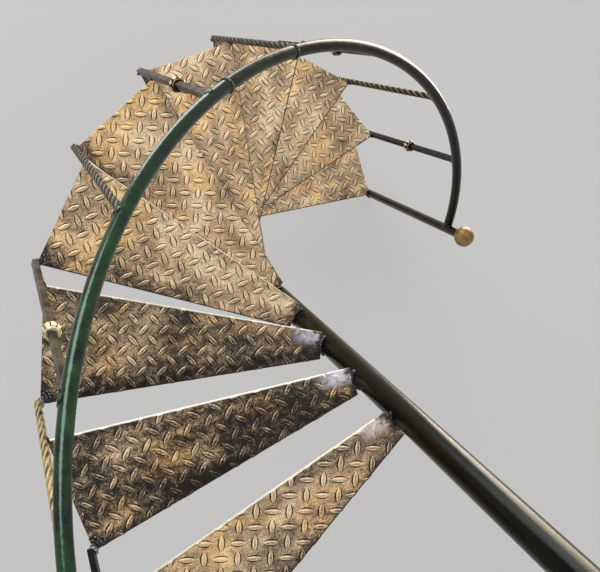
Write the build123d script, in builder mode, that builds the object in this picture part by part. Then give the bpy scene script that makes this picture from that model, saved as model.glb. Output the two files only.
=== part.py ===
# Spiral staircase: ten wedge treads of checker plate welded round a steel pole, with a helical
# tube handrail on square bars that are plain with a collar or twisted, by turns.
# Millimetres, +Z up the pole, origin at the underside of the base plate, +X along the first tread.

from build123d import *
import math
import os

# Stair layout
tread_count = 10
riser = 210.0
step_angle = 22.5

# Pole and its base
pole_diameter = 50.8
pole_wall = 3.2
pole_length = 3040.0
base_side = 200.0
base_thickness = 10.0
base_corner_radius = 12.0
anchor_spacing = 150.0
anchor_diameter = 14.0
cap_height = 8.0
cap_round = 5.0

# Treads, flat plate cut to a wedge
tread_thickness = 4.8
tread_end_x = 603.0
tread_overlap_angle = 0.4
tread_narrow_half = 29.5
tread_narrow_x = 24.5
corner_clip = 1.8

# Gap that a weld bead fills wherever two pieces meet
weld_gap = 0.3

# Bars between the treads and the handrail
bar_side = 12.7
quarter_turns_per_riser = 5
twist_plain_end = 34.0
collar_height = 530.0
collar_length = 35.0
collar_diameter = 34.0
collar_wall = 1.2
collar_ring_width = 4.5
collar_ring_step = 1.8
flute_count = 8
flute_diameter = 6.6
flute_depth = 2.4

# Handrail and newel, round tube
rail_diameter = 25.4
rail_wall = 2.0
rail_height = 660.0
rail_overrun = 26.0
rail_splices = (5.15, 5.85)
newel_diameter = 25.4
newel_wall = 2.0
newel_above_rail = 98.0
ball_diameter = 57.0

# Worked out from the sizes above
pole_radius = pole_diameter / 2
rail_radius = rail_diameter / 2
newel_radius = newel_diameter / 2
half_step = step_angle / 2
corner_angle = half_step + tread_overlap_angle / 2
tread_outer_half = tread_end_x * math.tan(math.radians(corner_angle))
corner_radius = math.hypot(tread_end_x, tread_outer_half)
guard_radius = corner_radius - corner_clip + weld_gap + bar_side / 2
twist_pitch = 4 * riser / quarter_turns_per_riser
plate_twist = math.pi * tread_thickness / twist_pitch
twist_reach = bar_side / 2 * (math.cos(plate_twist) + math.sin(plate_twist))
helix_pitch = riser * 360 / step_angle
rail_slope = math.atan(riser / (guard_radius * math.radians(step_angle)))
arc_length_per_step = guard_radius * math.radians(step_angle) / math.cos(rail_slope)

os.makedirs("parts", exist_ok=True)


def save(part, name):
    """Labels a finished piece and writes it as a STEP file of the same name."""
    part.label = name
    export_step(part, f"parts/{name}.step")


def azimuth(index):
    """Azimuth of the front corner of tread number index, where bar number index stands."""
    return (index - 1) * step_angle - half_step


def is_twisted(index):
    """Bars take turns: even ones are plain with a collar, odd ones are twisted."""
    return index % 2 == 1


def guard_point(index, z):
    """A point at height z on the axis of bar number index."""
    angle = math.radians(azimuth(index))
    return Vector(guard_radius * math.cos(angle), guard_radius * math.sin(angle), z)


def guard_plane(index, z):
    """Workplane on a bar's axis: x points away from the pole, z points up."""
    angle = math.radians(azimuth(index))
    return Plane(origin=guard_point(index, z), x_dir=(math.cos(angle), math.sin(angle), 0), z_dir=(0, 0, 1))


def rail_axis_height(index):
    """Height of the handrail's centreline above the front corner of a tread."""
    return index * riser + rail_height


def rail_plane(index):
    """Plane square to the handrail's centreline where it passes over a bar."""
    angle = math.radians(azimuth(index))
    along = Vector(
        -math.sin(angle) * math.cos(rail_slope),
        math.cos(angle) * math.cos(rail_slope),
        math.sin(rail_slope),
    )
    return Plane(origin=guard_point(index, rail_axis_height(index)), z_dir=along)


# Base plate, with four anchor holes
with BuildPart() as base_plate:
    with BuildSketch():
        RectangleRounded(base_side, base_side, base_corner_radius)
    extrude(amount=base_thickness)
    with Locations(Plane.XY.offset(base_thickness)):
        with GridLocations(anchor_spacing, anchor_spacing, 2, 2):
            Hole(anchor_diameter / 2)
save(base_plate.part, "base_plate")

# Pole, a tube that stands on the base plate
with BuildPart() as center_pole:
    with BuildSketch(Plane.XY.offset(base_thickness)):
        Circle(pole_radius)
        Circle(pole_radius - pole_wall, mode=Mode.SUBTRACT)
    extrude(amount=pole_length)
save(center_pole.part, "center_pole")

# Cap that closes the top of the pole, rounded over at its rim
with BuildPart() as pole_cap:
    with BuildSketch(Plane.XY.offset(base_thickness + pole_length)):
        Circle(pole_radius)
    extrude(amount=cap_height)
    fillet(pole_cap.edges().group_by(Axis.Z)[-1], radius=cap_round)
save(pole_cap.part, "pole_cap")


def corner_seat(index):
    """Outline, in plan, of the room that bar number index takes from the corner of a tread."""
    if index == 1:
        return Circle(newel_radius + weld_gap, mode=Mode.SUBTRACT)
    reach = twist_reach if is_twisted(index) else bar_side / 2
    side = 2 * (reach + weld_gap)
    return Rectangle(side, side, mode=Mode.SUBTRACT)


# Treads: a wedge, coped to the pole at its narrow end and let in round a bar at its two outer corners
for number in range(1, tread_count + 1):
    turn = (number - 1) * step_angle
    tread_plane = Plane.XY.offset(number * riser - tread_thickness).rotated((0, 0, turn))
    with BuildPart() as tread:
        with BuildSketch(tread_plane):
            with BuildLine():
                Polyline(
                    (tread_narrow_x, -tread_narrow_half),
                    (tread_end_x, -tread_outer_half),
                    (tread_end_x, tread_outer_half),
                    (tread_narrow_x, tread_narrow_half),
                    close=True,
                )
            make_face()
            Circle(pole_radius + weld_gap, mode=Mode.SUBTRACT)
            with Locations(Location((0, 0, 0), (0, 0, -half_step)) * Location((guard_radius, 0, 0))):
                corner_seat(number)
            with Locations(Location((0, 0, 0), (0, 0, half_step)) * Location((guard_radius, 0, 0))):
                corner_seat(number + 1)
        extrude(amount=tread_thickness)
    save(tread.part, f"tread_{number:02d}")

# Newel, a tube from the floor to above the handrail's lower end
newel_top = rail_axis_height(1) + newel_above_rail
with BuildPart() as newel_post:
    with BuildSketch(guard_plane(1, 0)):
        Circle(newel_radius)
        Circle(newel_radius - newel_wall, mode=Mode.SUBTRACT)
    extrude(amount=newel_top)
save(newel_post.part, "newel_post")

# Ball that sits with a small flat on the end of the newel
ball_radius = ball_diameter / 2
ball_seat_drop = math.sqrt(ball_radius**2 - newel_radius**2)
with BuildPart() as newel_ball:
    with BuildSketch(guard_plane(1, newel_top + ball_seat_drop) * Plane.XZ):
        Circle(ball_radius)
        with Locations((-ball_radius, 0)):
            Rectangle(2 * ball_radius, 3 * ball_radius, mode=Mode.SUBTRACT)
        with Locations((0, -ball_seat_drop)):
            Rectangle(3 * ball_radius, 2 * ball_radius, align=(Align.CENTER, Align.MAX), mode=Mode.SUBTRACT)
    revolve(axis=Axis(guard_point(1, 0), (0, 0, 1)))
save(newel_ball.part, "newel_ball")


def cope_to_rail(index):
    """Cuts the top of a bar to the round underside of the handrail."""
    reach = 3 * rail_diameter
    with BuildSketch(rail_plane(index).offset(-reach)) as bore:
        Circle(rail_radius + weld_gap)
    extrude(bore.sketch, amount=2 * reach, mode=Mode.SUBTRACT)


# Bars, each from the rear corner of one tread past the front corner of the next to the handrail
for number in range(2, tread_count + 2):
    foot = (number - 1) * riser - tread_thickness
    top = rail_axis_height(number)
    with BuildPart() as bar:
        if is_twisted(number):
            with BuildSketch(guard_plane(number, top - twist_plain_end)):
                Rectangle(bar_side, bar_side)
            extrude(amount=twist_plain_end)
            cope_to_rail(number)
            twist_length = top - twist_plain_end - foot
            start_angle = -math.degrees(plate_twist)
            with BuildSketch(guard_plane(number, foot), mode=Mode.PRIVATE) as section:
                Rectangle(bar_side, bar_side, rotation=start_angle)
            add(
                Solid.extrude_linear_with_rotation(
                    section.sketch.faces()[0],
                    guard_point(number, foot),
                    (0, 0, twist_length),
                    360 * twist_length / twist_pitch,
                )
            )
        else:
            with BuildSketch(guard_plane(number, foot)):
                Rectangle(bar_side, bar_side)
            extrude(amount=top - foot)
            cope_to_rail(number)
    save(bar.part, f"baluster_{number:02d}")

# Cast collars on the plain bars: a fluted belly between two end rings, bored square for the bar
for number in range(2, tread_count + 2, 2):
    centre = (number - 1) * riser + collar_height
    half = collar_length / 2
    belly_half = half - collar_ring_width
    neck = math.sqrt(2) * (bar_side / 2 + weld_gap) + collar_wall
    ring = neck + collar_ring_step
    flute_place = collar_diameter / 2 + flute_diameter / 2 - flute_depth
    with BuildPart() as collar:
        with BuildSketch(guard_plane(number, centre) * Plane.XZ):
            with BuildLine():
                Polyline((0, half), (0, -half), (ring, -half), (ring, -belly_half), (neck, -belly_half))
                ThreePointArc((neck, -belly_half), (collar_diameter / 2, 0), (neck, belly_half))
                Polyline((neck, belly_half), (ring, belly_half), (ring, half), (0, half))
            make_face()
        revolve(axis=Axis(guard_point(number, 0), (0, 0, 1)))
        with BuildSketch(guard_plane(number, centre - half)):
            Rectangle(bar_side + 2 * weld_gap, bar_side + 2 * weld_gap)
            with PolarLocations(flute_place, flute_count):
                Circle(flute_diameter / 2)
        extrude(amount=collar_length, mode=Mode.SUBTRACT)
    save(collar.part, f"collar_{number:02d}")


def rail_section(start, end):
    """A hollow length of the handrail, a helix between two tread numbers that may be fractions."""
    helix = Helix(
        helix_pitch,
        (end - start) * riser,
        guard_radius,
        center=(0, 0, rail_axis_height(start)),
    )
    path = helix.rotate(Axis.Z, azimuth(start))
    with BuildPart() as section:
        with BuildSketch(Plane(origin=path @ 0, z_dir=path % 0)):
            Circle(rail_radius)
            Circle(rail_radius - rail_wall, mode=Mode.SUBTRACT)
        sweep(path=path, is_frenet=True)
        if start == 1:
            with BuildSketch(guard_plane(1, 0)):
                Circle(newel_radius + weld_gap)
            extrude(amount=newel_top, mode=Mode.SUBTRACT)
    return section.part


# Handrail in three lengths, butted with a weld gap between them
gap_in_steps = weld_gap / arc_length_per_step
rail_end = tread_count + 1 + rail_overrun / arc_length_per_step
save(rail_section(1, rail_splices[0]), "handrail_lower")
save(rail_section(rail_splices[0] + gap_in_steps, rail_splices[1]), "handrail_splice")
save(rail_section(rail_splices[1] + gap_in_steps, rail_end), "handrail_upper")
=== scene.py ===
import functools
import math

import bpy
import numpy as np
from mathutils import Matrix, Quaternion, Vector


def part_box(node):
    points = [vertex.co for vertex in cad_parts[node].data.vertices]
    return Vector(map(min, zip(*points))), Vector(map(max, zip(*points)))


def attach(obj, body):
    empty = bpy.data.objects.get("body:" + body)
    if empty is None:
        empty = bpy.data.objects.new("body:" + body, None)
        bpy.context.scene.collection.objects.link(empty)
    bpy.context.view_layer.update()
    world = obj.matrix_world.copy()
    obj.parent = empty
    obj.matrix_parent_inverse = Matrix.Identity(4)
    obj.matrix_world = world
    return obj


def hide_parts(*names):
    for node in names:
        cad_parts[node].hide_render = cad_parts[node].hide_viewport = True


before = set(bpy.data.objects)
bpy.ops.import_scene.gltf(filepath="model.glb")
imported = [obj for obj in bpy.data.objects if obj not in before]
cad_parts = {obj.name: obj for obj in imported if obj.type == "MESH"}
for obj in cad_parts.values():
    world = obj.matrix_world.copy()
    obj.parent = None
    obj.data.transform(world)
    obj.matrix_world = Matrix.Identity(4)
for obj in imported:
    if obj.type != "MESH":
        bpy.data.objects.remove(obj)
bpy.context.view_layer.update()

# Sizes in metres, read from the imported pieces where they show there
MM = 0.001
STEP = math.radians(22.5)
OVERLAP = math.radians(0.2)
TREADS = 10
LAST_BAR = TREADS + 1
PLATE_LOW, PLATE_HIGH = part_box("tread_01")
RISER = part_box("tread_02")[1].z - PLATE_HIGH.z
PLATE = PLATE_HIGH.z - PLATE_LOW.z
TREAD_END = PLATE_HIGH.x
TREAD_OUTER_HALF = TREAD_END * math.tan(STEP / 2 + OVERLAP)
NARROW_X = 24.5 * MM
NARROW_HALF = 29.5 * MM
SIDE_SLOPE = (TREAD_OUTER_HALF - NARROW_HALF) / (TREAD_END - NARROW_X)
POLE_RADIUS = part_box("center_pole")[1].x
NEWEL_LOW, NEWEL_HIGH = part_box("newel_post")
NEWEL_RADIUS = (NEWEL_HIGH.x - NEWEL_LOW.x) / 2
GUARD_RADIUS = math.hypot(NEWEL_LOW.x + NEWEL_HIGH.x, NEWEL_LOW.y + NEWEL_HIGH.y) / 2
BAR_HALF = 6.35 * MM
TWIST_PITCH = 168 * MM
TWIST_PLAIN_END = 34 * MM
RAIL_RADIUS = 12.7 * MM
RAIL_HEIGHT = 660 * MM
RAIL_SLOPE = math.atan(RISER / (GUARD_RADIUS * STEP))
# Where the handrail's lengths meet, counted in bars
RAIL_SPLICES = (5.15, 5.85)


def tread_angle(number):
    """Azimuth of the middle of a tread."""
    return (number - 1) * STEP


def bar_angle(number):
    """Azimuth of a bar, which stands at the front corner of the tread of the same number."""
    return (number - 1.5) * STEP


def turned(points, angle):
    """Points turned about the pole's axis, counter-clockwise seen from above."""
    c, s = math.cos(angle), math.sin(angle)
    x, y, z = np.moveaxis(np.asarray(points, float), -1, 0)
    return np.stack([c * x - s * y, s * x + c * y, z], axis=-1)


def at_bar(number, out, along, height):
    """Points given as distances outwards from a bar's axis, sideways along the stair, and up from
    the floor."""
    out, along, height = np.broadcast_arrays(out, along, height)
    return turned(np.stack([out + GUARD_RADIUS, along, height], axis=-1), bar_angle(number))


def grid_faces(rows, columns, rows_close=False):
    """Quads between the points of a rows by columns grid. Its columns are joined end to start, and
    its rows too if they close."""
    bands = rows if rows_close else rows - 1
    i, j = np.meshgrid(np.arange(bands), np.arange(columns), indexing="ij")
    i2, j2 = (i + 1) % rows, (j + 1) % columns
    corners = [i * columns + j, i * columns + j2, i2 * columns + j2, i2 * columns + j]
    return np.stack(corners, axis=-1).reshape(-1, 4).tolist()


def end_faces(rows, columns):
    """One polygon over each end of a grid whose rows don't close."""
    last = (rows - 1) * columns
    return [list(range(columns))[::-1], list(range(last, last + columns))]


def piece(name, points, faces, material, rub_and_painted_light=None):
    """A smooth mesh at the origin from arrays of points and faces. It rides on the stair and takes
    its finish from a slot. Rub, one number to a point, says how far the finish is wiped or worn
    there; on the lugs it also carries their painted highlight and painted shade."""
    mesh = bpy.data.meshes.new(name)
    mesh.from_pydata(np.asarray(points, float).reshape(-1, 3).tolist(), [], faces)
    mesh.polygons.foreach_set("use_smooth", [True] * len(mesh.polygons))
    if rub_and_painted_light is not None:
        wear = mesh.attributes.new("rub_and_painted_light", "FLOAT", "POINT")
        wear.data.foreach_set("value", np.ravel(rub_and_painted_light).astype(np.float32))
    mesh.materials.append(material)
    mesh.update()
    made = bpy.data.objects.new(name, mesh)
    bpy.context.scene.collection.objects.link(made)
    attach(made, "root")
    return made


# Finishes
def linear(hexa):
    """An sRGB hex colour as linear red, green, blue and alpha."""
    parts = [int(hexa[k : k + 2], 16) / 255 for k in (1, 3, 5)]
    return [p / 12.92 if p <= 0.04045 else ((p + 0.055) / 1.055) ** 2.4 for p in parts] + [1.0]


def feed(tree, node, inputs):
    """Gives each named or numbered input a value: another node's first live output, a socket, a
    hex colour or a number."""
    for key, value in inputs.items():
        socket = node.inputs[key]
        if isinstance(value, bpy.types.Node):
            value = next(output for output in value.outputs if output.enabled)
        if isinstance(value, bpy.types.NodeSocket):
            tree.links.new(value, socket)
        else:
            socket.default_value = linear(value) if isinstance(value, str) else value


def add(tree, kind, inputs=None, stops=(), **settings):
    """Adds a node with its settings and inputs. Stops are the positions and hex colours of a
    colour ramp."""
    node = tree.nodes.new(kind)
    for key, value in settings.items():
        setattr(node, key, value)
    for index, (position, hexa) in enumerate(stops):
        elements = node.color_ramp.elements
        element = elements[index] if index < 2 else elements.new(position)
        element.position, element.color = position, linear(hexa)
    feed(tree, node, inputs or {})
    return node


def finish(name):
    """A new material, a short way to add nodes to it, a way to feed its shader, and its Object
    coordinates."""
    material = bpy.data.materials.new(name)
    material.use_nodes = True
    tree = material.node_tree
    node = functools.partial(add, tree)
    surface = functools.partial(feed, tree, tree.nodes["Principled BSDF"])
    return material, node, surface, node("ShaderNodeTexCoord").outputs["Object"]


def plate_paint(number, tone, swing, bare_edge_and_highlight, edge_tint, bleach, bleach_tint, scorch):
    """Bronze-brown enamel on hot-rolled checker plate, brushed on and wiped while wet. It is pinkish
    where it is thick, with golden patches that are painted sunlight. The lugs carry painted shade at
    their feet and a painted highlight on their shoulders, where the paint is also wiped thin. A thin
    dark line along both sheared edges is painted shade with some dirt, and a ragged band along the
    rear one is painted shade. The sheared front edge is bright, partly bare and partly a painted
    highlight. The weld at the pole bleached the narrow end and left soot, and the weld of the bar at
    the rear corner scorched the paint round it."""
    material, node, surface, place = finish(f"bronze enamel on checker plate {number:02d}")
    local = node(
        "ShaderNodeVectorRotate",
        {"Vector": place, "Angle": -tread_angle(number)},
        rotation_type="Z_AXIS",
    )
    axes = node("ShaderNodeSeparateXYZ", {0: local})
    x, y = axes.outputs["X"], axes.outputs["Y"]
    stretched = node("ShaderNodeMapping", {"Vector": local, "Scale": (0.5, 1.0, 1.0)})
    drift = node("ShaderNodeTexNoise", {"Vector": place, "Scale": 1 / (120 * MM), "Detail": 2.0})
    clouds = node(
        "ShaderNodeTexNoise",
        {"Vector": stretched, "Scale": 1 / (60 * MM), "Detail": 3.0},
    )
    mottle = node(
        "ShaderNodeTexNoise",
        {"Vector": place, "Scale": 1 / (17 * MM), "Detail": 4.0, "Roughness": 0.65},
    )
    grit = node(
        "ShaderNodeTexNoise",
        {"Vector": place, "Scale": 1 / (3.2 * MM), "Detail": 2.0, "Roughness": 0.6},
    )
    # The lugs' rub, which carries their painted highlight and painted shade
    rub_and_painted_light = node("ShaderNodeAttribute", attribute_name="rub_and_painted_light").outputs["Fac"]

    # The paint's lightness, from clouds, mottling, grit, the lugs' rub with its painted highlight
    # and shade, and golden patches of painted sunlight. The patterns swing round their middle value
    # of a half, so half of their weight comes off the tone.
    parts = ((0.75 * swing, clouds), (0.50 * swing, mottle), (0.60 * swing, grit), (0.60, rub_and_painted_light))
    level = tone - sum(weight for weight, pattern in parts[:3]) / 2
    for weight, pattern in parts:
        level = node("ShaderNodeMath", {0: pattern, 1: weight, 2: level}, operation="MULTIPLY_ADD")
    # Painted sunlight: where the slow noise is high, the paint turns golden and 0.07 lighter
    thin = node(
        "ShaderNodeMapRange",
        {"Value": drift, "From Min": 0.53, "From Max": 0.60},
        interpolation_type="SMOOTHSTEP",
    )
    level = node("ShaderNodeMath", {0: thin, 1: 0.07, 2: level}, operation="MULTIPLY_ADD")

    # Distances from the two sides of the wedge, with painted shade in a ragged band along the rear
    # one
    half_at_axis = NARROW_HALF - NARROW_X * SIDE_SLOPE
    half = node("ShaderNodeMath", {0: x, 1: SIDE_SLOPE, 2: half_at_axis}, operation="MULTIPLY_ADD")
    front = node("ShaderNodeMath", {0: half, 1: y}, operation="ADD")
    rear = node("ShaderNodeMath", {0: half, 1: y}, operation="SUBTRACT")
    wander = node("ShaderNodeMath", {0: mottle, 1: 60 * MM, 2: rear}, operation="MULTIPLY_ADD")
    # Painted shade: darker within a ragged band along the rear edge
    rear_shade = node(
        "ShaderNodeMapRange",
        {"Value": wander, "From Min": 30 * MM, "From Max": 75 * MM, "To Min": 0.20, "To Max": 0.0},
        interpolation_type="SMOOTHSTEP",
    )
    level = node("ShaderNodeMath", {0: level, 1: rear_shade}, operation="SUBTRACT")
    thick_paint = node(
        "ShaderNodeValToRGB",
        {"Fac": level},
        [
            (0.06, "#0e0a07"),
            (0.28, "#352c22"),
            (0.42, "#605341"),
            (0.55, "#8f7a60"),
            (0.67, "#b59775"),
            (0.79, "#d3b48c"),
            (0.95, "#f6e2bb"),
        ],
    )
    # The golden colours of the painted sunlight
    sunlit_paint = node(
        "ShaderNodeValToRGB",
        {"Fac": level},
        [
            (0.06, "#0f0a06"),
            (0.28, "#372d1f"),
            (0.42, "#63533b"),
            (0.55, "#957a57"),
            (0.67, "#bd996c"),
            (0.79, "#deb781"),
            (0.95, "#fbdca3"),
        ],
    )
    colour = node("ShaderNodeMix", {0: thin, 6: thick_paint, 7: sunlit_paint}, data_type="RGBA")

    # A dark line along both sheared edges, which is painted shade with some dirt, and a bright one
    # along the front shear cut, which is partly bare metal and partly a painted highlight
    nearest = node("ShaderNodeMath", {0: front, 1: rear}, operation="MINIMUM")
    ragged = node("ShaderNodeMath", {0: mottle, 1: 3.0 * MM, 2: nearest}, operation="MULTIPLY_ADD")
    seam_dirt_and_shade = node(
        "ShaderNodeMapRange",
        {"Value": ragged, "From Min": 3.2 * MM, "From Max": 5.8 * MM, "To Min": 0.95, "To Max": 0.0},
        interpolation_type="SMOOTHSTEP",
    )
    colour = node("ShaderNodeMix", {0: seam_dirt_and_shade, 6: colour, 7: "#261b11"}, data_type="RGBA")
    cut = node("ShaderNodeMath", {0: grit, 1: 2.4 * MM, 2: front}, operation="MULTIPLY_ADD")
    # Painted highlight along the front edge, partly bare metal
    bright = node(
        "ShaderNodeMapRange",
        {
            "Value": cut,
            "From Min": 2.4 * MM,
            "From Max": 4.0 * MM,
            "To Min": bare_edge_and_highlight,
            "To Max": 0.0,
        },
        interpolation_type="SMOOTHSTEP",
    )
    colour = node("ShaderNodeMix", {0: bright, 6: colour, 7: edge_tint}, data_type="RGBA")

    # Heat of the weld at the pole: bleached towards the front side, sooty right at the weld
    ragged_x = node("ShaderNodeMath", {0: mottle, 1: 70 * MM, 2: x}, operation="MULTIPLY_ADD")
    ragged_y = node("ShaderNodeMath", {0: mottle, 1: 34 * MM, 2: front}, operation="MULTIPLY_ADD")
    near_pole = node(
        "ShaderNodeMapRange",
        {
            "Value": ragged_x,
            "From Min": 98 * MM,
            "From Max": 134 * MM,
            "To Min": bleach,
            "To Max": 0.0,
        },
        interpolation_type="SMOOTHSTEP",
    )
    near_front = node(
        "ShaderNodeMapRange",
        {"Value": ragged_y, "From Min": 34 * MM, "From Max": 56 * MM, "To Min": 1.0, "To Max": 0.0},
        interpolation_type="SMOOTHSTEP",
    )
    bleached = node("ShaderNodeMath", {0: near_pole, 1: near_front}, operation="MULTIPLY")
    tint = node(
        "ShaderNodeValToRGB",
        {"Fac": mottle},
        [(0.34, "#857c7a"), (0.47, bleach_tint), (0.66, "#f4f1ec")],
    )
    colour = node("ShaderNodeMix", {0: bleached, 6: colour, 7: tint}, data_type="RGBA")
    sooty = node("ShaderNodeMath", {0: rear, 1: -0.25, 2: ragged_x}, operation="MULTIPLY_ADD")
    soot = node(
        "ShaderNodeMapRange",
        {"Value": sooty, "From Min": 52 * MM, "From Max": 68 * MM, "To Min": 0.9, "To Max": 0.0},
        interpolation_type="SMOOTHSTEP",
    )
    colour = node("ShaderNodeMix", {0: soot, 6: colour, 7: "#151413"}, data_type="RGBA")

    # Heat of the weld at the rear outer corner, which darkens it as far as a ragged diagonal
    corner = node("ShaderNodeMath", {0: wander, 1: x}, operation="SUBTRACT")
    scorched = node(
        "ShaderNodeMapRange",
        {
            "Value": corner,
            "From Min": 60 * MM - TREAD_END,
            "From Max": 98 * MM - TREAD_END,
            "To Min": scorch,
            "To Max": 0.0,
        },
        interpolation_type="SMOOTHSTEP",
    )
    colour = node("ShaderNodeMix", {0: scorched, 6: colour, 7: "#15110d"}, data_type="RGBA")

    roughness = node(
        "ShaderNodeMapRange",
        {"Value": mottle, "From Min": 0.3, "From Max": 0.7, "To Min": 0.36, "To Max": 0.56},
    )
    relief = node("ShaderNodeMath", {0: mottle, 1: 2.5, 2: grit}, operation="MULTIPLY_ADD")
    bump = node("ShaderNodeBump", {"Height": relief, "Distance": 0.35 * MM, "Strength": 0.8})
    surface({"Base Color": colour, "Roughness": roughness, "Normal": bump, "Metallic": 0.2})
    return material


def gloss_enamel(name, dark, light, dust, rough, shine, glint="#ffffff", ripple=0.35, worn=None):
    """Gloss enamel brushed on steel: close to black, wet-looking, with slow ripples in the film, a
    second tone where it ran thin, and dust caught in it. The film tints its glints a little. Where
    worn is given, the paint has that tone up to a height of 1950 mm and its own from 2250 mm, with
    a smooth change between."""
    material, node, surface, place = finish(name)
    film = node("ShaderNodeTexNoise", {"Vector": place, "Scale": 1 / (45 * MM), "Detail": 3.0})
    specks = node(
        "ShaderNodeTexNoise",
        {"Vector": place, "Scale": 1 / (5 * MM), "Detail": 4.0, "Roughness": 0.7},
    )
    colour = node("ShaderNodeValToRGB", {"Fac": film}, [(0.38, dark), (0.70, light)])
    if worn:
        height = node("ShaderNodeSeparateXYZ", {0: place}).outputs["Z"]
        kept = node(
            "ShaderNodeMapRange",
            {"Value": height, "From Min": 1950 * MM, "From Max": 2250 * MM},
            interpolation_type="SMOOTHSTEP",
        )
        colour = node("ShaderNodeMix", {0: kept, 6: worn, 7: colour}, data_type="RGBA")
    caught = node(
        "ShaderNodeMapRange",
        {"Value": specks, "From Min": 0.56, "From Max": 0.76, "To Min": 0.0, "To Max": 0.22},
    )
    colour = node("ShaderNodeMix", {0: caught, 6: colour, 7: dust}, data_type="RGBA")
    roughness = node(
        "ShaderNodeMapRange",
        {"Value": specks, "From Min": 0.3, "From Max": 0.7, "To Min": rough, "To Max": rough + 0.16},
    )
    relief = node("ShaderNodeMath", {0: film, 1: 3.0, 2: specks}, operation="MULTIPLY_ADD")
    bump = node("ShaderNodeBump", {"Height": relief, "Distance": 0.4 * MM, "Strength": ripple})
    surface({"Base Color": colour, "Roughness": roughness, "Normal": bump})
    surface({"Specular IOR Level": shine, "Specular Tint": glint})
    return material


def wiped_gold(name, dark, gold, low, high, rough):
    """Black enamel with gold size wiped over it by hand: the gold stays on whatever stands proud,
    in patches, and the hollows stay black."""
    material, node, surface, place = finish(name)
    rub_and_painted_light = node("ShaderNodeAttribute", attribute_name="rub_and_painted_light").outputs["Fac"]
    patches = node(
        "ShaderNodeTexNoise",
        {"Vector": place, "Scale": 1 / (30 * MM), "Detail": 4.0, "Roughness": 0.6},
    )
    specks = node(
        "ShaderNodeTexNoise",
        {"Vector": place, "Scale": 1 / (3 * MM), "Detail": 3.0, "Roughness": 0.7},
    )
    height = node("ShaderNodeMath", {0: patches, 1: 0.9, 2: rub_and_painted_light}, operation="MULTIPLY_ADD")
    height = node("ShaderNodeMath", {0: specks, 1: 0.5, 2: height}, operation="MULTIPLY_ADD")
    wiped = node(
        "ShaderNodeMapRange",
        {"Value": height, "From Min": low, "From Max": high},
        interpolation_type="SMOOTHSTEP",
    )
    base = node("ShaderNodeValToRGB", {"Fac": specks}, [(0.35, dark), (0.75, "#1c150d")])
    colour = node("ShaderNodeMix", {0: wiped, 6: base, 7: gold}, data_type="RGBA")
    shine = node("ShaderNodeMath", {0: wiped, 1: 0.5}, operation="MULTIPLY")
    bump = node("ShaderNodeBump", {"Height": specks, "Distance": 0.3 * MM, "Strength": 0.6})
    surface({"Base Color": colour, "Metallic": shine, "Roughness": rough, "Normal": bump})
    surface({"Specular IOR Level": 0.07})
    return material


def ball_gold():
    """Gold paint on a steel ball: flake in varnish, browned in blotches and dulled by handling."""
    material, node, surface, place = finish("gold paint on ball")
    blotches = node(
        "ShaderNodeTexNoise",
        {"Vector": place, "Scale": 1 / (22 * MM), "Detail": 4.0, "Roughness": 0.55},
    )
    colour = node(
        "ShaderNodeValToRGB",
        {"Fac": blotches},
        [(0.32, "#5f4828"), (0.50, "#8d6f40"), (0.70, "#ae8f58")],
    )
    roughness = node(
        "ShaderNodeMapRange",
        {"Value": blotches, "From Min": 0.3, "From Max": 0.7, "To Min": 0.5, "To Max": 0.34},
    )
    bump = node("ShaderNodeBump", {"Height": blotches, "Distance": 0.5 * MM, "Strength": 0.3})
    surface({"Base Color": colour, "Roughness": roughness, "Normal": bump, "Metallic": 0.45})
    return material


def weld_metal(name, dark, middle, light):
    """Stick weld left unground: frozen ripples of steel with dark slag in the hollows and bright
    crests."""
    material, node, surface, place = finish(name)
    slag = node(
        "ShaderNodeTexNoise",
        {"Vector": place, "Scale": 1 / (4 * MM), "Detail": 4.0, "Roughness": 0.7},
    )
    stops = [(0.38, dark), (0.55, middle), (0.68, light)]
    colour = node("ShaderNodeValToRGB", {"Fac": slag}, stops)
    roughness = node(
        "ShaderNodeMapRange",
        {"Value": slag, "From Min": 0.3, "From Max": 0.7, "To Min": 0.55, "To Max": 0.3},
    )
    bump = node("ShaderNodeBump", {"Height": slag, "Distance": 0.6 * MM, "Strength": 0.8})
    surface({"Base Color": colour, "Roughness": roughness, "Normal": bump, "Metallic": 0.4})
    return material


# For each tread: how light the paint is, where the lighter treads are partly painted sunlight, how
# far it swings between light and dark, how bright its sheared front edge is, partly bare and partly
# a painted highlight, and of what colour, how far the weld bleached its narrow end and to what
# colour, and how far the bar's weld scorched its rear corner
PLATE_LOOKS = {
    1: (0.63, 1.5, 0.0, "#d9c3a0", 0.0, "#c9b79c", 0.2),
    2: (0.69, 1.4, 0.0, "#d9c3a0", 0.0, "#c9b79c", 0.2),
    3: (0.70, 1.3, 0.0, "#d9c3a0", 0.0, "#c9b79c", 0.2),
    4: (0.71, 1.35, 0.0, "#d9c3a0", 0.0, "#c9b79c", 0.2),
    5: (0.69, 1.25, 0.3, "#dcc8a4", 0.0, "#c9b79c", 0.3),
    6: (0.71, 1.25, 0.5, "#dcc8a4", 0.0, "#c9b79c", 0.4),
    7: (0.74, 1.5, 0.95, "#eadcc0", 0.5, "#dfc598", 0.9),
    8: (0.45, 1.85, 0.9, "#e8dec9", 0.85, "#cdc7d8", 0.95),
    9: (0.39, 1.95, 1.0, "#f2ece0", 1.0, "#dfe0e8", 0.9),
    10: (0.64, 1.45, 0.95, "#e8dcc4", 0.85, "#dfcbbb", 0.4),
}
PLATE_PAINTS = {number: plate_paint(number, *looks) for number, looks in PLATE_LOOKS.items()}
GREEN_ENAMEL = gloss_enamel(
    "dark green gloss enamel on rail tube",
    "#050e04",
    "#1e3f18",
    "#526a44",
    0.10,
    0.58,
    "#cfeadc",
    worn="#161e13",
)
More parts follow.
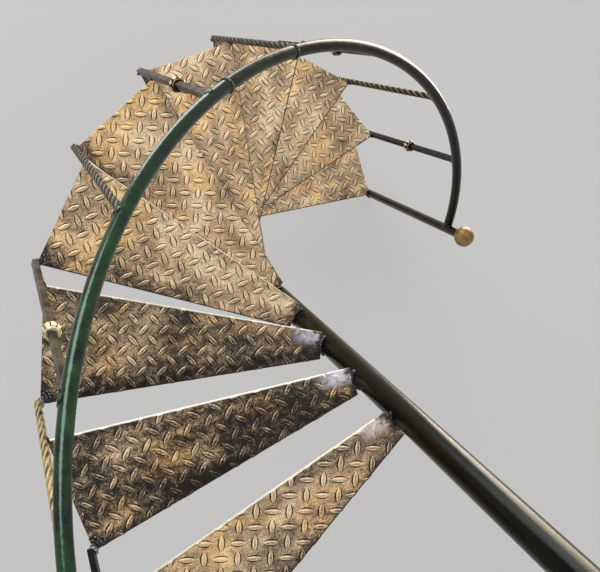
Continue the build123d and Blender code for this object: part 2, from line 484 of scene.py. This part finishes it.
OLIVE_ENAMEL = gloss_enamel(
    "olive gloss enamel on rail splice", "#080a05", "#23281a", "#5f6048", 0.15, 0.36, "#e6ecd8"
)
BROWN_ENAMEL = gloss_enamel(
    "brown-black gloss enamel on rail tube", "#060401", "#1d140a", "#4a3b27", 0.13, 0.16, "#fff0d8"
)
POLE_ENAMEL = gloss_enamel(
    "olive-black gloss enamel on pole tube",
    "#020302",
    "#080a05",
    "#26261a",
    0.15,
    0.09,
    "#f8f3d8",
    ripple=0.25,
)
BAR_ENAMEL = gloss_enamel("black enamel on square bar", "#030202", "#0e0a06", "#352b1d", 0.24, 0.05)
# A painted brown sheen, standing in for reflected light, for bars 6 and 8
BROWN_SHEEN_BAR = gloss_enamel(
    "black enamel with painted brown sheen on square bar", "#130e08", "#5b4d38", "#8d7f62", 0.26, 0.08
)
DARK_TWIST = wiped_gold("gold wiped thin on twisted bar", "#060503", "#a3926a", 1.05, 1.60, 0.34)
GOLD_TWIST = wiped_gold("gold wiped thick on twisted bar", "#070503", "#bfa677", 0.52, 0.98, 0.36)
DARK_COLLAR = wiped_gold("gold wiped thin on cast collar", "#0a0805", "#d2c196", 1.08, 1.45, 0.42)
GOLD_COLLAR = wiped_gold("gold wiped thick on cast collar", "#0d0a07", "#dcc99d", 0.55, 1.05, 0.42)
BALL_FINISH = ball_gold()
POLE_WELD = weld_metal("weld bead at the pole", "#121011", "#3a3638", "#b5b0b4")
BAR_WELD = weld_metal("weld bead on the bars", "#0d0c0a", "#282620", "#9a9786")
BRIGHT_WELD = weld_metal("bare weld bead on the bars", "#2a2a28", "#8d8d89", "#f0f0ec")
GREEN_WELD = weld_metal("green paint on weld bead", "#0b110a", "#37432f", "#9aa583")
BROWN_WELD = weld_metal("brown paint on weld bead", "#0c0905", "#2f2517", "#8d7d5c")

NODE_FINISHES = {
    "base_plate": POLE_ENAMEL,
    "center_pole": POLE_ENAMEL,
    "pole_cap": POLE_ENAMEL,
    "newel_post": BROWN_ENAMEL,
    "newel_ball": BALL_FINISH,
    "handrail_lower": BROWN_ENAMEL,
    "handrail_splice": OLIVE_ENAMEL,
    "handrail_upper": GREEN_ENAMEL,
}
for number in range(1, TREADS + 1):
    NODE_FINISHES[f"tread_{number:02d}"] = PLATE_PAINTS[number]
# Bars 6 and 8 get the painted brown sheen
for number in range(2, LAST_BAR + 1):
    NODE_FINISHES[f"baluster_{number:02d}"] = BROWN_SHEEN_BAR if number in (6, 8) else BAR_ENAMEL
for number in range(2, LAST_BAR + 1, 2):
    NODE_FINISHES[f"collar_{number:02d}"] = GOLD_COLLAR
for name, material in NODE_FINISHES.items():
    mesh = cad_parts[name].data
    mesh.materials.clear()
    mesh.materials.append(material)


# Checker plate: raised lugs in rows along the tread, and the crossed rows between them
LUG_LENGTH = 31 * MM
LUG_WIDTH = 11.0 * MM
LUG_HEIGHT = 2.3 * MM
LUG_TILT = math.radians(47)
ROW_PITCH = 41 * MM
ROW_SPACING = 44 * MM
LUGS_FROM = 48 * MM
# How far past the plate's sides and its end a lug's middle may lie and still leave a part on it
SHEARED_SIDES = 6 * MM
SHEARED_END = 7 * MM
# Where the pattern falls on each plate, in millimetres along and across it
LUG_STARTS = {
    1: (12, 5),
    2: (27, -14),
    3: (5, 19),
    4: (33, -8),
    5: (18, 11),
    6: (9, -20),
    7: (30, 3),
    8: (15, -12),
    9: (9, -17),
    10: (0, 7),
}


def lug_shape():
    """One lug along X, as a closed shell that is sunk a little into the plate. Its half-width
    shrinks to a blunt point at each end, by a power of one less the square of the way there.
    Across, it has a flat crown between round shoulders and steep feet; along, the crown falls with
    the fourth power. A narrow skirt lies round it. Rub is greatest on the shoulders, partly paint
    wiped thin and partly a painted highlight, and least at the feet, as painted shade."""
    across = np.array([-1.44, -1.40, -1.08, -0.98, -0.66, -0.34, 0.34, 0.66, 0.98, 1.08, 1.40, 1.44])
    rise = np.array([-0.2, 0.015, 0.02, 0.06, 0.80, 1.0, 1.0, 0.80, 0.06, 0.02, 0.015, -0.2])
    # Painted highlight on the shoulders and painted shade at the feet
    rub_and_painted_light = np.array([0.0, 0.0, -1.3, -1.1, 0.8, 0.1, 0.1, 0.8, -1.1, -1.3, 0.0, 0.0])
    along = np.array([1.0, 0.90, 0.66, 0.25, -0.25, -0.66, -0.90, -1.0])
    half_width = LUG_WIDTH / 2 * (0.04 + (1 - along**2) ** 0.8)
    crown = np.sqrt(1.01 - along**4)
    x = np.broadcast_to(LUG_LENGTH / 2 * along[:, None], (len(along), len(across)))
    y = half_width[:, None] * across
    z = LUG_HEIGHT * np.where(rise > 0.1, rise * crown[:, None], rise)
    return np.stack([x, y, z], axis=-1).reshape(-1, 3), np.tile(rub_and_painted_light, len(along)), x.shape


def kept_on_plate(points):
    """Draws points that overhang the wedge back onto its outline, as the shear cuts the lugs at an
    edge."""
    x, y, z = np.moveaxis(points, -1, 0)
    inset = 0.3 * MM
    run = math.hypot(1.0, SIDE_SLOPE)
    for side in (-1, 1):
        over = (side * y - NARROW_HALF - (x - NARROW_X) * SIDE_SLOPE) / run + inset
        over = np.maximum(over, 0)
        x = x + over * SIDE_SLOPE / run
        y = y - side * over / run
    return np.stack([np.minimum(x, TREAD_END - inset), y, z], axis=-1)


def tread_lugs(number):
    """All lugs of a tread in one piece. Lugs of one slant stand in rows along the tread; those of
    the other slant stand in the middle of each four. The rows are long enough to cover the plate,
    and only the lugs on it are kept, with those that the shear cut through at its edges."""
    shape, rub_and_painted_light, (rows, columns) = lug_shape()
    start_x, start_y = (value * MM for value in LUG_STARTS[number])
    j, k, slant = np.meshgrid(np.arange(-1, 17), np.arange(-5, 6), (-1, 1), indexing="ij")
    shifted = (slant + 1) / 4
    x = (start_x + (j + shifted) * ROW_PITCH).ravel()
    y = (start_y + (k + shifted) * ROW_SPACING).ravel()
    angle = (slant * LUG_TILT).ravel()
    half = NARROW_HALF + (x - NARROW_X) * SIDE_SLOPE
    there = (np.abs(y) < half + SHEARED_SIDES) & (x > LUGS_FROM) & (x < TREAD_END + SHEARED_END)
    x, y, angle = (values[there][:, None] for values in (x, y, angle))
    points = np.stack(
        [
            x + np.cos(angle) * shape[:, 0] - np.sin(angle) * shape[:, 1],
            y + np.sin(angle) * shape[:, 0] + np.cos(angle) * shape[:, 1],
            np.broadcast_to(shape[:, 2] + number * RISER, (len(x), len(shape))),
        ],
        axis=-1,
    )
    points = turned(kept_on_plate(points), tread_angle(number))
    one = grid_faces(rows, columns) + end_faces(rows, columns)
    size, lugs = len(shape), range(len(x))
    faces = [[corner + lug * size for corner in face] for lug in lugs for face in one]
    lug_rub_and_painted_light = np.tile(rub_and_painted_light, len(x))
    piece(f"tread_{number:02d}_lugs", points, faces, PLATE_PAINTS[number], lug_rub_and_painted_light)


for number in range(1, TREADS + 1):
    tread_lugs(number)

# Weld beads: the length of a ripple, and the radii. A bead's middle lies a little off the surfaces
# that it joins, and it sinks into both.
RIPPLE = 3.2 * MM
POLE_BEAD = 3.0 * MM
FOOT_BEAD = 3.6 * MM
BAR_TOP_BEAD = 3.6 * MM
NEWEL_BEAD = 2.4 * MM
BALL_BEAD = 1.6 * MM
SPLICE_BEAD = 2.6 * MM
CORNER_BEAD = 2.8 * MM
HEAVY_BEAD = 5.2 * MM


def bead(name, path, radius, material, ring=False):
    """A weld bead: a round section carried along a path. It swells by a seventh once every ripple,
    where the pool froze, wavers in size, and draws in to a blunt tip at both ends unless its path
    is a ring. The section is turned from a fixed direction that no path follows."""
    around = 10
    along = np.roll(path, -1, axis=0) - np.roll(path, 1, axis=0)
    if not ring:
        along[0], along[-1] = path[1] - path[0], path[-1] - path[-2]
    along /= np.linalg.norm(along, axis=1)[:, None]
    side = np.cross(along, (0.13, 0.21, 0.97))
    side /= np.linalg.norm(side, axis=1)[:, None]
    lift = np.cross(side, along)
    run = np.concatenate([[0], np.cumsum(np.linalg.norm(np.diff(path, axis=0), axis=1))])
    ripple = np.abs(np.sin(np.pi * run / RIPPLE))
    swell = radius * (0.90 + 0.14 * ripple + 0.08 * np.sin(run / radius))
    if not ring:
        swell = swell * np.clip(np.minimum(run, run[-1] - run) / radius, 0.03, 1) ** 0.5
    t = np.linspace(0, 2 * math.pi, around, endpoint=False)
    section = side[:, None] * np.cos(t)[:, None] - lift[:, None] * np.sin(t)[:, None]
    points = path[:, None] + swell[:, None, None] * section
    faces = grid_faces(len(path), around, rows_close=ring)
    if not ring:
        faces += end_faces(len(path), around)
    piece(name, points, faces, material)


def arc(start, end, count):
    """Angles from start to end, in degrees, as an array in radians."""
    return np.radians(np.linspace(start, end, count))


TURN = arc(0, 360, 61)[:-1]

# At the pole: over and under each tread, and round the foot
sweep = arc(-54, 54, 48)
reach = POLE_RADIUS + 1.2 * MM
for number in range(1, TREADS + 1):
    over, under = number * RISER + 0.4 * MM, number * RISER - PLATE - 0.4 * MM
    for name, height in (("top", over), ("under", under)):
        level = np.full_like(sweep, height)
        path = np.stack([reach * np.cos(sweep), reach * np.sin(sweep), level], axis=1)
        path = turned(path, tread_angle(number))
        bead(f"tread_{number:02d}_{name}_weld", path, POLE_BEAD, POLE_WELD)
reach = POLE_RADIUS + 1.5 * MM
level = np.full_like(TURN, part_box("base_plate")[1].z + 1.0 * MM)
path = np.stack([reach * np.cos(TURN), reach * np.sin(TURN), level], axis=1)
bead("pole_foot_weld", path, FOOT_BEAD, POLE_WELD, ring=True)


def rounded_square(reach):
    """A closed path round a square, as a superellipse whose power makes soft corners."""
    c, s = np.cos(TURN), np.sin(TURN)
    return reach * np.sign(c) * np.abs(c) ** 0.45, reach * np.sign(s) * np.abs(s) ** 0.45


def rail_metal(number):
    """The paint on a weld of the handrail over a bar: brown on the lower length of the rail, green
    on the rest."""
    return BROWN_WELD if number < RAIL_SPLICES[0] else GREEN_WELD


# Where each bar meets the underside of the handrail
for number in range(2, LAST_BAR + 1):
    out, along = rounded_square(BAR_HALF + 0.4 * MM)
    under = np.sqrt(RAIL_RADIUS**2 - out**2)
    lift = (along * math.sin(RAIL_SLOPE) - under) / math.cos(RAIL_SLOPE)
    path = at_bar(number, out, along, number * RISER + RAIL_HEIGHT + lift)
    name = f"baluster_{number:02d}_rail_weld"
    bead(name, path, BAR_TOP_BEAD, rail_metal(number), ring=True)


# Each lump's place along the rail, its turn round the rail in degrees up from the outermost line,
# and its half lengths along the rail, round it and out of it
RAIL_LUMPS = (
    (-7 * MM, -28, 9 * MM, 7 * MM, 3.4 * MM),
    (3 * MM, 6, 8 * MM, 8 * MM, 3.0 * MM),
    (8 * MM, -48, 7 * MM, 6 * MM, 3.6 * MM),
)


def rail_lumps(number):
    """Lumps of weld that climb the handrail's outer flank over a bar, 50 degrees lower on the
    rail's lower length. Each is a ball stretched to its three half lengths, whose surface waves in
    and out by a sixth both ways."""
    drop = 50 if number < RAIL_SPLICES[0] else 0
    theta = arc(0, 360, 25)[:-1]
    phi = arc(172, 8, 13)[:, None]
    points, faces = [], []
    for place, round_rail, length, width, height in RAIL_LUMPS:
        wave = 1 + 0.16 * np.sin(3 * theta + 2.1 * number + round_rail) * np.sin(4 * phi + number)
        along = length * wave * np.sin(phi) * np.cos(theta)
        sideways = width * wave * np.sin(phi) * np.sin(theta)
        proud = height * wave * np.cos(phi) + RAIL_RADIUS - 0.3 * MM
        turn = math.radians(round_rail - drop)
        c, s = math.cos(turn), math.sin(turn)
        out, up = proud * c - sideways * s, proud * s + sideways * c
        run = along + place
        lift = run * math.sin(RAIL_SLOPE) + up * math.cos(RAIL_SLOPE)
        across = run * math.cos(RAIL_SLOPE) - up * math.sin(RAIL_SLOPE)
        first = sum(len(shell) for shell in points)
        shell = at_bar(number, out, across, number * RISER + RAIL_HEIGHT + lift)
        one = grid_faces(*shell.shape[:2]) + end_faces(*shell.shape[:2])
        points.append(shell.reshape(-1, 3))
        faces += [[corner + first for corner in face] for face in one]
    name = f"baluster_{number:02d}_rail_lumps"
    piece(name, np.concatenate(points), faces, rail_metal(number))


for number in range(2, LAST_BAR + 1):
    rail_lumps(number)

# Where the handrail meets the newel, and where the ball sits on it
out = RAIL_RADIUS * np.cos(TURN)
along = np.sqrt(np.maximum(NEWEL_RADIUS**2 - out**2, 0))
across = RAIL_RADIUS * np.sin(TURN)
height = RISER + RAIL_HEIGHT + along * math.tan(RAIL_SLOPE) + across / math.cos(RAIL_SLOPE)
path = at_bar(1, out, along, height)
bead("newel_rail_weld", path, NEWEL_BEAD, BROWN_WELD, ring=True)
path = at_bar(1, NEWEL_RADIUS * np.cos(TURN), NEWEL_RADIUS * np.sin(TURN), NEWEL_HIGH.z)
bead("newel_ball_weld", path, BALL_BEAD, BROWN_WELD, ring=True)

# Where the handrail's lengths are butted together
for index, place in enumerate(RAIL_SPLICES):
    reach = RAIL_RADIUS + 0.3 * MM
    out, across = reach * np.cos(TURN), reach * np.sin(TURN)
    along = -across * math.sin(RAIL_SLOPE)
    height = place * RISER + RAIL_HEIGHT + across * math.cos(RAIL_SLOPE)
    path = at_bar(place, out, along, height)
    name = f"handrail_splice_weld_{index + 1}"
    bead(name, path, SPLICE_BEAD, GREEN_WELD, ring=True)

# At the treads' outer corners, over and under the plate, on the side that faces the pole. At the
# feet of the top four bars the bead is heavy, and bare at the last three.
sweep = arc(100, 260, 26)
for number in range(1, LAST_BAR + 1):
    reach = (NEWEL_RADIUS if number == 1 else BAR_HALF * 1.15) + 0.8 * MM
    out, along = reach * np.cos(sweep), reach * np.sin(sweep)
    for level, corner in ((number - 1, "lower"), (number, "upper")):
        if not 1 <= level <= TREADS:
            continue
        over, under = level * RISER + 0.5 * MM, level * RISER - PLATE - 0.5 * MM
        for side, height in (("top", over), ("under", under)):
            name = f"baluster_{number:02d}_{corner}_{side}_weld"
            if number == 1:
                name = f"newel_{side}_weld"
            at_foot = corner == "lower" and side == "top"
            radius = HEAVY_BEAD if at_foot and number > 7 else CORNER_BEAD
            metal = BRIGHT_WELD if at_foot and number > 8 else BAR_WELD
            bead(name, at_bar(number, out, along, height), radius, metal)


def spatter(number):
    """Drops of weld thrown on the plate round a bar's foot: balls of 1.1 to 2.3 mm in radius, sunk
    by a third. They lie 11 to 36 mm from the bar's axis, each further out than the last, at steps
    of the golden angle folded into the 62 degrees that the plate's corner takes."""
    drops = 16
    k = np.arange(drops)[:, None, None]
    theta = arc(0, 360, 9)[:-1]
    phi = arc(166, 14, 6)[:, None]
    size = (1.1 + 1.2 * ((k * 0.618) % 1)) * MM
    away = (11 + 27 * k / drops) * MM
    turn = np.radians(188 + (k * 137.5) % 62)
    out = away * np.cos(turn) + size * np.sin(phi) * np.cos(theta)
    along = away * np.sin(turn) + size * np.sin(phi) * np.sin(theta)
    height = (number - 1) * RISER + size * (0.3 + np.cos(phi))
    points = at_bar(number, out, along, height)
    rows, columns = points.shape[1:3]
    one = grid_faces(rows, columns) + end_faces(rows, columns)
    shell = rows * columns
    faces = [[corner + drop * shell for corner in face] for drop in range(drops) for face in one]
    piece(f"baluster_{number:02d}_spatter", points, faces, BRIGHT_WELD)


for number in (8, 9, 10):
    spatter(number)


# Twisted bars
def twisted_bar(number):
    """A square bar, whose section is a superellipse of a high power so that its arrises are
    slightly rounded. It is carried up from its foot to just inside the handrail, and turned
    steadily once every pitch as far as its plain end. Rub grows from nothing at 1.12 half sides
    from the axis to all at 1.32, so it is greatest on the arrises."""
    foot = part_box(f"baluster_{number:02d}")[0].z
    top = number * RISER + RAIL_HEIGHT
    rows = 360
    below_rail_axis = 6 * MM
    height = np.linspace(foot, top - below_rail_axis, rows)
    turning = np.minimum(height, top - TWIST_PLAIN_END) - foot - PLATE / 2
    twist = 2 * math.pi * turning / TWIST_PITCH
    t = arc(0, 360, 33)[:-1]
    c, s = np.cos(t), np.sin(t)
    power = 9
    reach = BAR_HALF / (np.abs(c) ** power + np.abs(s) ** power) ** (1 / power)
    out = reach * np.cos(t + twist[:, None])
    along = reach * np.sin(t + twist[:, None])
    points = at_bar(number, out, along, height[:, None])
    faces = grid_faces(rows, len(t)) + end_faces(rows, len(t))
    rub_and_painted_light = np.broadcast_to(np.clip((reach / BAR_HALF - 1.12) / 0.20, 0, 1), out.shape)
    material = GOLD_TWIST if number > 8 else DARK_TWIST
    made = piece(f"baluster_{number:02d}_twisted", points, faces, material, rub_and_painted_light)
    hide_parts(f"baluster_{number:02d}")


for number in range(3, LAST_BAR + 1, 2):
    twisted_bar(number)

# Cast collars on the plain bars
COLLAR_NECK = 10.6 * MM
COLLAR_BELLY = 6.4 * MM
COLLAR_RING = 1.8 * MM
COLLAR_GROOVE = 2.4 * MM
COLLAR_LOBES = 8


def collar(number):
    """A cast collar turned about the bar's axis: a neck, plus a belly that rises as a power of one
    less the square of the height, plus a ring near each end, flat-topped as an exponential of a
    fourth power is. Grooves between the lobes sink with a power of a cosine round the axis. Rub
    follows belly and rings and drops in the grooves, so the gold lies on rings and lobes."""
    low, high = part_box(f"collar_{number:02d}")
    middle, half = (low.z + high.z) / 2, (high.z - low.z) / 2
    v = np.linspace(-1, 1, 57)[:, None]
    t = arc(0, 360, 97)[:-1]
    belly = np.clip(1 - (v / 0.74) ** 2, 0, 1) ** 0.6
    ring = np.exp(-(((np.abs(v) - 0.86) / 0.105) ** 4))
    groove = belly * (1 - np.abs(np.cos(COLLAR_LOBES / 2 * t)) ** 0.6)
    radius = COLLAR_NECK + COLLAR_BELLY * belly + COLLAR_RING * ring - COLLAR_GROOVE * groove
    points = at_bar(number, radius * np.cos(t), radius * np.sin(t), middle + half * v)
    rows, columns = radius.shape
    faces = grid_faces(rows, columns) + end_faces(rows, columns)
    rub_and_painted_light = belly + 0.7 * ring - 1.6 * groove
    material = GOLD_COLLAR if number > 6 else DARK_COLLAR
    made = piece(f"collar_{number:02d}_cast", points, faces, material, rub_and_painted_light)
    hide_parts(f"collar_{number:02d}")


for number in range(2, LAST_BAR + 1, 2):
    collar(number)

# Camera: above the stair's top end and turned, so that the stair lies across the picture
FRAME_WIDTH, FRAME_HEIGHT = 600, 572
FOCAL_PIXELS = 1074.8
CENTRE_ROW = 326
EYE = Vector((-0.4414, 0.8568, 3.7606))
AIM = Vector((0.0363, -0.1122, 1.2))
ROLL = 2.3384
camera_data = bpy.data.cameras.new("camera")
camera_data.sensor_width = 36.0
camera_data.lens = FOCAL_PIXELS / FRAME_WIDTH * camera_data.sensor_width
camera_data.shift_y = (CENTRE_ROW - FRAME_HEIGHT / 2) / FRAME_WIDTH
camera = bpy.data.objects.new("camera", camera_data)
bpy.context.scene.collection.objects.link(camera)
camera.location = EYE
camera.rotation_mode = "QUATERNION"
camera.rotation_quaternion = (AIM - EYE).to_track_quat("-Z", "Y") @ Quaternion((0, 0, 1), ROLL)
bpy.context.scene.camera = camera


# Floor and light
def floor():
    """A wide, matt, pale floor just under the base plate. Where the camera sees it, straight or in
    a shiny or clear surface, about half of its brightness is its own, so that it looks evenly pale
    out to the horizon and still shows the stair's shadow."""
    material, node, surface, place = finish("pale floor")
    tone = node("ShaderNodeTexNoise", {"Vector": place, "Scale": 1.2, "Detail": 2.0})
    colour = node("ShaderNodeValToRGB", {"Fac": tone}, [(0.3, "#cbcac7"), (0.7, "#d3d2cf")])
    path = node("ShaderNodeLightPath")
    seen = path.outputs["Is Camera Ray"]
    for ray in ("Is Glossy Ray", "Is Transmission Ray"):
        seen = node("ShaderNodeMath", {0: seen, 1: path.outputs[ray]}, operation="MAXIMUM")
    colour = node("ShaderNodeMix", {0: seen, 6: colour, 7: "#8f8e8c"}, data_type="RGBA")
    glow = node("ShaderNodeMath", {0: seen, 1: 0.34}, operation="MULTIPLY")
    surface({"Base Color": colour, "Roughness": 0.9})
    surface({"Emission Color": "#f6f5f3", "Emission Strength": glow})
    reach, level = 40.0, -0.5 * MM
    mesh = bpy.data.meshes.new("floor")
    corners = [(x * reach, y * reach, level) for x, y in ((-1, -1), (1, -1), (1, 1), (-1, 1))]
    mesh.from_pydata(corners, [], [(0, 1, 2, 3)])
    mesh.materials.append(material)
    plane = bpy.data.objects.new("floor", mesh)
    bpy.context.scene.collection.objects.link(plane)


def soft_box(name, place, aim, width, height, power, tint):
    """A rectangular soft box at a place, which points at another. Sizes are in metres and the
    power in watts."""
    light = bpy.data.lights.new(name, "AREA")
    light.shape = "RECTANGLE"
    light.size, light.size_y = width, height
    light.energy = power
    light.color = linear(tint)[:3]
    lamp = bpy.data.objects.new(name, light)
    bpy.context.scene.collection.objects.link(lamp)
    lamp.location = place
    lamp.rotation_mode = "QUATERNION"
    lamp.rotation_quaternion = (Vector(aim) - Vector(place)).to_track_quat("-Z", "Y")


floor()
# The key light stands behind the camera and the fill opposite. The two low ones lie on the floor
# and shine up. They light the undersides, and the gloss of the pole and of the handrail's lower
# length mirrors them as long glints.
soft_box("key", (-1.1, 5.2, 3.1), (0.0, 0.0, 1.6), 2.6, 4.0, 240, "#f6faff")
soft_box("top", (0.4, 1.2, 6.6), (0.0, 0.0, 1.0), 3.0, 3.0, 50, "#fff9f0")
soft_box("fill", (3.8, -2.8, 3.4), (0.0, 0.0, 1.2), 3.0, 3.0, 25, "#f4f7ff")
soft_box("low", (2.3, 1.1, 0.02), (2.3, 1.1, 1.0), 2.2, 2.2, 150, "#fff0da")
soft_box("low front", (0.3, 2.6, 0.02), (0.3, 2.6, 1.0), 2.0, 1.8, 60, "#f2f6f4")

# An even, pale sky all round
world = bpy.data.worlds.new("studio")
bpy.context.scene.world = world
world.use_nodes = True
sky = world.node_tree.nodes["Background"]
sky.inputs["Color"].default_value = linear("#eceef0")
sky.inputs["Strength"].default_value = 0.66

bpy.context.scene.view_settings.view_transform = "Standard"
